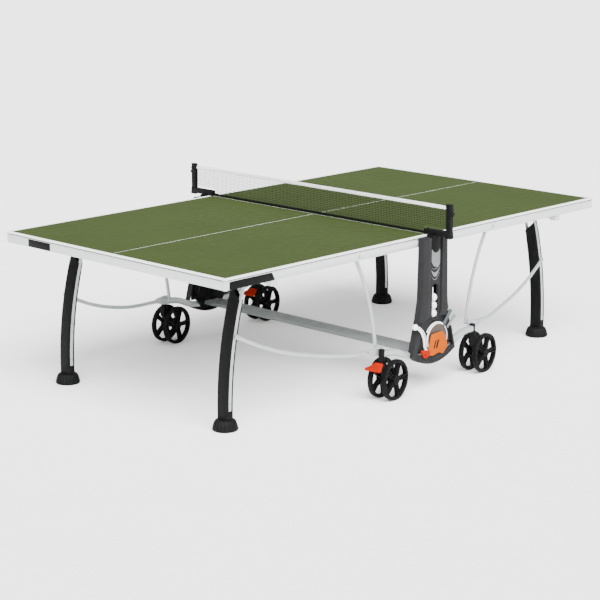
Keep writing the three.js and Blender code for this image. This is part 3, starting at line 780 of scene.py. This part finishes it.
def cover_stations():
    """(x, z) points down one side of the pillar, round its foot and up the other side."""
    half, foot_z = PILLAR_FOOT
    heights = [PILLAR_TOP - (PILLAR_TOP - foot_z) * i / 60 for i in range(61)]
    side = [(outline_half(z), z) for z in heights]
    shares = [i / 28 for i in range(1, 28)]
    foot = [(half * (1 - 2 * t), foot_z - 4 * FOOT_SAG * t * (1 - t)) for t in shares]
    return [*side, *foot, *[(-x, z) for x, z in reversed(side)]]


def band_section(x, z):
    """(outwards, y) points from the pillar's back edge, round its front edge to the recess."""
    inner = 50 if z > 392 else 50 + (392 - z) * 1.15
    reach = max(17, abs(x) - inner) if z > 178 else 17
    section = [(0.6, 768.5), (0.6, 783), (0.6, 797)]
    for angle in range(15, 91, 15):
        turn = math.radians(angle)
        section.append((-14 + 14.6 * math.cos(turn), 798 + 14.6 * math.sin(turn)))
    for i in range(1, 5):
        section.append((-14 - (reach - 14) * i / 4, PILLAR_FACE + 0.6 + 2 * math.sin(math.pi * i / 4)))
    return [*section, (-reach, 804)]


def cover_band():
    """The cover's side and rounded front edge, left open where the rail and the bats stick out."""
    stations = cover_stations()
    points = []
    for i, (x, z) in enumerate(stations):
        before = Vector(stations[max(i - 1, 0)])
        after = Vector(stations[min(i + 1, len(stations) - 1)])
        along = (after - before).normalized()
        for out, y in band_section(x, z):
            points.append((x - along.y * out, y, z + along.x * out))
    n = len(band_section(0, 0))
    faces = []
    for i, (x, z) in enumerate(stations[:-1]):
        top = 352 if x > 0 else 388
        for j in range(n - 1):
            if j < 2 or not 292 < z < top:
                faces.append((i * n + j, i * n + j + 1, (i + 1) * n + j + 1, (i + 1) * n + j))
    return points, faces


def stadium(half, low, high, steps=12):
    """A tall outline with round ends."""
    ends = ((high - half, 0), (low + half, 180))
    return [(half * math.cos(math.radians(start + 180 * i / steps)),
             z + half * math.sin(math.radians(start + 180 * i / steps)))
            for z, start in ends for i in range(steps + 1)]


def centre_panel():
    """The raised middle of the pillar, cut out round the ball slot."""
    outline = stadium(40, 342, 800, 16)
    outline = [(x, min(z, 752)) for x, z in outline]
    slot = stadium(22.5, SLOT[0] - 2, SLOT[1] + 2)
    return plate(outline, PILLAR_PANEL - 0.5, PANEL_FACE, [slot], bevel=2)


def tongue():
    """The dark bulging cap at the top of the recess, with a round lower end."""
    rows = 24
    columns = 12
    points = []
    for i in range(rows + 1):
        t = i / rows
        z = 756 - 84 * t
        half = 40 * math.sqrt(max(0.0, 1 - max(0.0, (t - 0.45) / 0.55) ** 2.2))
        for j in range(columns + 1):
            u = -1 + 2 * j / columns
            swell = math.sqrt(max(0.0, 1 - u * u)) * math.sqrt(max(0.0, 1 - t ** 6))
            points.append((half * u, PILLAR_PANEL + 17 * swell, z))
    n = columns + 1
    faces = [(i * n + j, i * n + j + 1, (i + 1) * n + j + 1, (i + 1) * n + j)
             for i in range(rows) for j in range(columns)]
    return points, faces


def crescent(top, bottom, half, thick):
    """A band that sags between two heights, thickest in its middle."""
    steps = 12
    upper = []
    lower = []
    for i in range(steps + 1):
        x = -half + 2 * half * i / steps
        sag = (top - bottom) * (1 - (x / half) ** 2)
        upper.append((x, top - sag - 5 * x / half))
        lower.append((x, top - sag - thick * (1.1 - (x / half) ** 2) - 5 * x / half))
    return plate(upper + lower[::-1], PANEL_FACE - 0.4, PANEL_FACE + 1.0, bevel=0.35)


def panel_arcs():
    """Plain raised arcs on the centre panel, one under another."""
    return joined(crescent(612, 598, 32, 2.2), crescent(600, 580, 32, 20), crescent(572, 546, 31, 2.6))


def grip_panel():
    """A light pad with slanting ends and fine finger ribs, between the tongue and the arcs."""
    outline = [(30, 704), (0, 690), (-30, 694), (-31, 618), (-12, 603), (14, 612), (32, 636)]
    pad = plate(softened(outline, 4, 0.2), PANEL_FACE - 0.5, PANEL_FACE + 2.2, bevel=0.9)
    ribs = [block((-26, PANEL_FACE + 1.6, z), (26, PANEL_FACE + 3.2, z + 2.6), 0.7)
            for z in range(636, 681, 9)]
    return joined(pad, *ribs)


def slot_rim():
    """A raised lip round the ball slot."""
    path = [(x, PANEL_FACE, z) for x, z in stadium(24, SLOT[0] - 3, SLOT[1] + 3)]
    return swept([*path, path[0]], rounded(3, 3, 1.2, 3), caps=False)


def inner_ribs():
    """Upright ribs on the back of the guide plate, seen from under the table."""
    return joined(*[block((x - 1.5, 763.4, 178), (x + 1.5, 767, 740), 0.5)
                    for x in range(-46, 47, 23)])


def ball(x, y, z, radius=BALL / 2):
    """A hollow-looking ball with its faint seam."""
    profile = []
    for i in range(33):
        angle = math.radians(-90 + 180 * i / 32)
        seam = 0.12 * math.exp(-((angle / 0.03) ** 2))
        profile.append(((radius - seam) * math.cos(angle), (radius - seam) * math.sin(angle)))
    turned = changed(lathe(profile, 40), Matrix.Rotation(math.radians(25), 4, "X"))
    return shifted(turned, x, y, z)


def bat_blade():
    """Blade as one rubber disc, rubber on both faces, with the white edge tape."""
    rubber = lathe([(0, 8.4), (71.2, 8.4), (72, 7.6), (72, 0.8), (71.2, 0), (0, 0)], 96)
    tape = lathe([(72, 8.2), (75.3, 8.2), (76, 7.4), (76, 0.8), (75.3, 0), (72, 0), (72, 8.2)], 96)
    return [along_y(part, -18, 801, 250) for part in (rubber, tape)]


def bat_handle(foot, lean, length, width, y, thickness=22):
    """A flared grip that starts at a point and leans over by an angle from +X."""
    direction = Vector((math.cos(math.radians(lean)), 0, math.sin(math.radians(lean))))
    path = []
    rings = 14
    points = []
    sizes = []
    for i in range(rings + 1):
        t = i / rings
        flare = 1 + 0.22 * max(0, (t - 0.55) / 0.45) ** 2 - 0.1 * math.sin(math.pi * t)
        end = 1 if i < rings else 0.82
        sizes.append(flare * end)
        path.append(Vector((foot[0], y, foot[1])) + direction * length * t)
    side = Vector((0, 1, 0))
    up = direction.cross(side)
    section = rounded(thickness, width, 8, 4)
    for at, size in zip(path, sizes):
        points += [tuple(at + side * a * (0.6 + 0.4 * size) + up * b * size) for a, b in section]
    return points, tube_faces(len(section), rings, (0, rings))


def ball_rail():
    """The white rail that leads balls to the outlet, its rounded end and its second edge."""
    path = smooth([(66, 806, 204), (76, 806, 222), (79, 806, 244), (86, 806, 272), (104, 806, 302),
                   (132, 806, 326)], 6)
    rail = swept(path, rounded(9, 12, 3.5))
    inner = swept([(p[0] - 13, p[1] + 1, p[2] + 3) for p in path[4:]], rounded(5, 4, 1.6))
    hub = along_y(lathe([(0, -5), (8, -5), (9, -4), (9, 4), (8, 5), (0, 5)], 32), 66, 806, 204)
    arc = [(-9 + 84 * math.cos(math.radians(a)), 807, 247 + 84 * math.sin(math.radians(a)))
           for a in range(32, 125, 4)]
    return joined(rail, inner, hub, swept(arc, rounded(4, 4, 1.4)), ball(143, 802, 331, 15))


def release_shield():
    outline = [(36, 279), (-42, 283), (-68, 253), (-84, 203), (-49, 169), (-16, 180), (30, 171),
               (62, 179), (59, 207), (46, 255)]
    return plate(softened(outline, 4, 0.18), 813.5, 822.5, bevel=2.4)


def grip_ribs():
    """Two plain slanting finger ribs on the orange handle."""
    ribs = []
    for x, size in ((18, 7), (-1, 11)):
        path = smooth([(x + 5, 822.2, 206), (x - 1, 822.8, 224), (x - 10, 822.2, 246)], 6)
        ribs.append(swept(path, rounded(2.6, size, 1.2, 3)))
    return joined(*ribs)


def latch():
    outline = softened([(108, 214), (52, 202), (52, 178), (86, 168), (100, 177), (115, 206)], 4, 0.2)
    hole = [(88 + x, 184 + z) for x, z in circle(4, 20)]
    return plate(outline, 812.6, 823.2, [hole], bevel=1.8)


def build_pillars():
    for name, side in SIDES_Y:
        def make(part, shape, look, slot=None, body="chassis", replaces=()):
            piece(f"{name}_{part}", turned_to(shape, side), LOOKS[look], body,
                  [f"{name}_{node}" for node in replaces])
        make("bar_tube", bar_shape(), "silver", "silver_tube", replaces=["wheel_bar"])
        make("bar_sleeves", bar_sleeves(), "black_plastic")
        make("link_bolts", link_bolts(), "zinc", "zinc_steel")
        make("pillar_band", cover_band(), "dark_plastic")
        make("pillar_panel", centre_panel(), "dark_plastic")
        make("pillar_ribs", inner_ribs(), "black_plastic", "black_steel")
        make("pillar_tongue", tongue(), "black_plastic", "dark_plastic")
        make("pillar_arcs", panel_arcs(), "light_panel", "dark_plastic")
        make("pillar_grip", grip_panel(), "light_panel", "dark_plastic")
        make("slot_rim", slot_rim(), "dark_plastic")
        make("slot_guide", block((17.5, 793, 462), (22, 806, 509), 0.8), "white_plastic")
        balls = [ball(0, BALL_Y, BALL_BOTTOM + BALL / 2 + i * 39.6) for i in range(3)]
        make("stored_balls", joined(*balls), "white_plastic", replaces=["ball_stack"])
        make("ball_rail", ball_rail(), "white_plastic", replaces=["ball_guide"])
        rubber, tape = bat_blade()
        make("bat_rubber", rubber, "rubber", "bat_rubber", replaces=["stored_bat"])
        make("bat_edge", tape, "white_plastic")
        make("bat_grip", bat_handle((-62, 303), 130, 92, 19, 805, 15), "grip_dark", "bat_rubber")
        make("second_bat_grip", bat_handle((-104, 286), 140, 80, 14, 796, 8), "grip_grey", "bat_rubber")
        body = f"{name}_release"
        make("release_shield", release_shield(), "orange", "orange_plastic", body, ["release_handle"])
        make("release_ribs", grip_ribs(), "black_plastic", None, body)
        make("release_latch", latch(), "deep_orange", "orange_plastic", body)


# ---------- casters ----------
def wheel_shape():
    """A wheel about the Y axis, its outer face on +Y."""
    half = WHEEL_WIDTH / 2
    side = [(83.5, 3), (84, half - 1.5), (85, half), (90.5, half), (91.5, half - 1.4),
            (92.5, half - 1.4), (93.5, half), (96, half), (99, half - 2.2), (100, half - 5.5)]
    rim = [(r, -y) for r, y in side] + [(r, y) for r, y in reversed(side)]
    hub = [(0, -half - 13), (18.5, -half - 13), (20, -half - 11.5), (20, half - 1), (24, half - 3),
           (24, half), (22.5, half + 1.2), (12, half + 1.2), (11, half - 0.5), (0, half - 0.5)]
    parts = [along_y(lathe([*rim, rim[0]], 96), 0, 0, 0), along_y(lathe(hub, 48), 0, 0, 0)]
    for i in range(SPOKES):
        turn = Matrix.Rotation(math.tau * i / SPOKES, 4, "Y")
        web = plate([(20, -8), (55, -7.5), (87.5, -11), (87.5, 11), (55, 7.5), (20, 8)], -5, 5, bevel=1)
        rib = [(20, 9), (55, 8.4), (88, 12.5), (88, 7.5), (55, 4.4), (20, 4.6)]
        ribs = [plate([(x, side * z) for x, z in rib], -half + 2, half - 1, bevel=0.8)
                for side in (-1, 1)]
        parts.append(changed(joined(web, *ribs), turn))
    for i in range(6):
        angle = math.tau * i / 6
        nub = lathe([(2.4, half - 1), (2.4, half + 2), (1.6, half + 2.8), (0, half + 2.8)], 12)
        parts.append(along_y(nub, 16.5 * math.cos(angle), 0, 16.5 * math.sin(angle)))
    return joined(*parts)


def pedal_shape():
    """The orange brake pedal: a flared pad with ribs, hanging from its hinge barrel."""
    half = [(0, 25), (-28, 34), (-50, 48), (-58, 40)]
    outline = softened(half + [(x, -y) for x, y in reversed(half)], 4, 0.18)
    pad = changed(plate(outline, -3, 3, bevel=1.6), Matrix.Rotation(-math.pi / 2, 4, "X"))
    ribs = [block((-50 + 9 * i, -34 + 3 * i, 2.4), (-46.5 + 9 * i, 34 - 3 * i, 4.6), 0.8)
            for i in range(4)]
    lip = swept([(-57, -42, -1), (-57, 42, -1)], rounded(9, 5, 2), side=(0, 0, 1))
    tilted = changed(joined(pad, *ribs, lip), Matrix.Rotation(-math.radians(PEDAL_TILT), 4, "Y"))
    barrel = [(0, -22), (5, -22), (6, -21), (6, 21), (5, 22), (0, 22)]
    x, z = PEDAL_HINGE
    return joined(shifted(tilted, x, 0, z), along_y(lathe(barrel, 32), x, 0, z))


def build_casters():
    swivel = Matrix.Rotation(math.radians(CASTER_SWIVEL), 4, "Z")
    spots = {j["child"]: j for j in frame["joints"]}
    for name_y, side_y in SIDES_Y:
        for name_x, side_x in SIDES_X:
            corner = f"{name_y}_{name_x}"
            for wheel, face in SIDES_Y:
                body = f"{corner}_{wheel}_wheel"
                at = Vector(spots[body]["pos_m"]) / MM
                shape = changed(mirrored(wheel_shape(), 1, face), Matrix.Translation(at) @ swivel)
                piece(f"{body}_tyre", shape, LOOKS["tyre"], body, [body])
            if f"{corner}_brake" in spots:
                place = Matrix.Translation((side_x * CASTER_X, side_y * CASTER_Y, 0)) @ swivel
                piece(f"{corner}_pedal", changed(pedal_shape(), place), LOOKS["deep_orange"],
                      f"{corner}_brake", [f"{corner}_brake_pedal"])


# ---------- net ----------
def thread(path):
    """A four-sided cord through the points."""
    return swept(path, circle(THREAD / 2, 4), side=(1, 0, 0))


def net_mesh():
    """The knotted net: upright and level threads that pass over and under each other."""
    top = NET_TOP - TAPE_HEIGHT + 2
    count = int(2 * NET_REACH / MESH_ACROSS)
    stations = [-NET_REACH + 2 * NET_REACH * i / count for i in range(count + 1)]
    levels = [NET_BOTTOM + 4 + MESH_UP * i for i in range(int((top - NET_BOTTOM) / MESH_UP) + 1)]

    def knot(i, j):
        y = stations[i]
        z = levels[j] - 0.8 * math.cos(y / 310) + 0.25 * math.sin(i * 1.7 + j)
        return (0.35 * (-1) ** (i + j), y + 0.6 * math.sin(i * 0.9 + j * 2.1), z)

    threads = []
    for i, y in enumerate(stations):
        rows = [j for j, z in enumerate(levels) if abs(y) < NET_SKIRT or z > ARM_TOP + 2]
        path = [knot(i, j) for j in rows]
        threads.append(thread([*path, (0, y, top)]))
    for j, z in enumerate(levels):
        reach = NET_REACH if z > ARM_TOP + 2 else NET_SKIRT
        path = [knot(i, j) for i, y in enumerate(stations) if abs(y) <= reach]
        threads.append(thread([(-p[0], p[1], p[2]) for p in path]))
    return joined(*threads)


def net_tape():
    """The white band folded over the top cord, with its stitched lower edges."""
    low, high = NET_TOP - TAPE_HEIGHT, NET_TOP
    outer = [(1.5, low), (2.0, low + 2), (1.7, high - 3), (1.2, high - 0.8), (0, high)]
    inner = [(0, high - 1.0), (0.6, high - 1.6), (0.9, high - 3), (0.8, low + 2), (0.7, low)]
    section = outer + inner
    section += [(-x, z) for x, z in [*reversed(inner[1:]), *reversed(outer[:-1])]]
    rows = 160
    points = []
    for i in range(rows + 1):
        y = -NET_REACH + 2 * NET_REACH * i / rows
        ripple = 0.12 * math.sin(y / 23) + 0.1 * math.sin(y / 9.1)
        sag = 0.0 if i in (0, rows) else 0.3 * math.sin(y / 41)
        points += [(x + ripple, y, z + (sag if z < high - 4 else 0)) for x, z in section]
    return points, tube_faces(len(section), rows)


def net_stitches():
    stitches = []
    z = NET_TOP - TAPE_HEIGHT + 3
    for i in range(int(2 * NET_REACH / 6)):
        y = -NET_REACH + 3 + 6 * i
        for side in (-1, 1):
            x = side * 2.05
            stitches.append(block((x - 0.2, y, z - 0.3), (x + 0.2, y + 3.6, z + 0.3), 0.15, 1))
    return joined(*stitches)


def net_hem():
    """The dark band along the bottom of the net."""
    section = [(-0.8, 0), (-0.8, 9), (-0.4, 10), (0.4, 10), (0.8, 9), (0.8, 0), (0.4, -0.6),
               (-0.4, -0.6)]
    rows = 90
    points = []
    for i in range(rows + 1):
        y = NET_SKIRT * (2 * i / rows - 1)
        wave = 0.25 * math.sin(y / 37)
        points += [(x + wave, y, NET_BOTTOM + 0.8 + z) for x, z in section]
    return points, tube_faces(len(section), rows, (0, rows))


def net_bracket():
    """The post, its arm over the table's edge and the seat on the pillar."""
    post = swept([(0, 884, 756), (0, 884, 918), (0, 884, 921)], rounded(22, 30, 4), side=(1, 0, 0))
    arm = block((-15, 738, 763), (15, 898, 789), 3, 3)
    seat = block((-31, 770, 756), (31, 812, 764), 2)
    knob_profile = [(0, 0), (9, 0), (10, 1), (10, 7), (9, 8.5), (0, 9)]
    knob = along_y(lathe(knob_profile, 72, 18, 1.2), 0, 899, 876)
    collar = block((-13, 867, 893), (13, 901, 899), 1.2)
    foot = block((-13, 866, 758), (13, 901, 768), 1.5)
    clip = block((-5, 862, 903), (5, 871, 919), 1.2)
    ribs = [block((-15.6, 830 + 9 * i, 767), (15.6, 833 + 9 * i, 785), 0.6) for i in range(3)]
    return joined(post, arm, seat, knob, collar, foot, clip, *ribs)


def bracket_bolts():
    cap = lathe([(0, 4), (3, 4), (4, 3), (4, 0), (6, 0), (6, -1), (0, -1)], 20)
    heads = [shifted(cap, x, 791, 765) for x in (-22, 22)]
    heads.append(shifted(lathe([(0, 3), (4, 3), (5, 2), (5, 0), (0, 0)], 6), 0, 752, 789))
    return joined(*heads)


def build_net():
    threads = piece("net_threads", net_mesh(), LOOKS["net"], "chassis", ["net"])
    tape = piece("net_tape_band", net_tape(), LOOKS["tape"], "chassis", ["net_tape"])
    stitches = piece("net_tape_stitches", net_stitches(), LOOKS["tape"], "chassis")
    hem = piece("net_bottom_hem", net_hem(), LOOKS["hem"], "chassis")
    for name, side in SIDES_Y:
        piece(f"{name}_net_post", turned_to(net_bracket(), side), LOOKS["black_plastic"], "chassis",
              [f"{name}_net_bracket"])
        piece(f"{name}_net_bolts", turned_to(bracket_bolts(), side), LOOKS["black_plastic"], "chassis")


# ---------- stage, light and camera ----------
def build_stage():
    floor_mesh = bpy.data.meshes.new("floor")
    size = 120
    floor_mesh.from_pydata([(-size, -size, 0), (size, -size, 0), (size, size, 0), (-size, size, 0)], [],
                           [(0, 1, 2, 3)])
    floor_mesh.materials.append(Look("floor_paper", linear(246, 246, 246), 0.9)
                                .mottle(0.01, 400).uneven(0.04, 200).done())
    floor = bpy.data.objects.new("floor", floor_mesh)
    bpy.context.scene.collection.objects.link(floor)
    world = bpy.data.worlds.new("studio")
    world.use_nodes = True
    nodes = world.node_tree.nodes
    links = world.node_tree.links
    axes = nodes.new("ShaderNodeSeparateXYZ")
    brightness = nodes.new("ShaderNodeMapRange")
    brightness.inputs["To Min"].default_value = 0.3
    brightness.inputs["To Max"].default_value = 1.3
    links.new(nodes.new("ShaderNodeTexCoord").outputs["Generated"], axes.inputs[0])
    links.new(axes.outputs["Z"], brightness.inputs["Value"])
    links.new(brightness.outputs["Result"], nodes["Background"].inputs["Strength"])
    nodes["Background"].inputs["Color"].default_value = (1, 1, 1, 1)
    bpy.context.scene.world = world


def add_sun(name, direction, strength, angle):
    data = bpy.data.lights.new(name, "SUN")
    data.energy = strength
    data.angle = math.radians(angle)
    lamp = bpy.data.objects.new(name, data)
    lamp.rotation_mode = "QUATERNION"
    lamp.rotation_quaternion = Vector(direction).to_track_quat("-Z", "Y")
    bpy.context.scene.collection.objects.link(lamp)


def add_camera():
    data = bpy.data.cameras.new("camera")
    data.lens = 109.6
    data.sensor_width = 36
    data.clip_end = 300
    camera = bpy.data.objects.new("camera", data)
    camera.location = (-6.679, -6.252, 2.498)
    toward = Vector((-0.628, -0.5, 0.5)) - camera.location
    camera.rotation_mode = "QUATERNION"
    roll = Matrix.Rotation(math.radians(0.09), 4, "Z").to_quaternion()
    camera.rotation_quaternion = toward.to_track_quat("-Z", "Y") @ roll
    bpy.context.scene.collection.objects.link(camera)
    bpy.context.scene.camera = camera


dress_cad_nodes()
build_tops()
build_legs()
build_links()
build_pillars()
build_casters()
build_net()
build_stage()
add_sun("key_light", (0.35, 0.75, -1.0), 10, 50)
add_sun("side_light", (0.85, 0.25, -0.6), 2.6, 60)
add_camera()
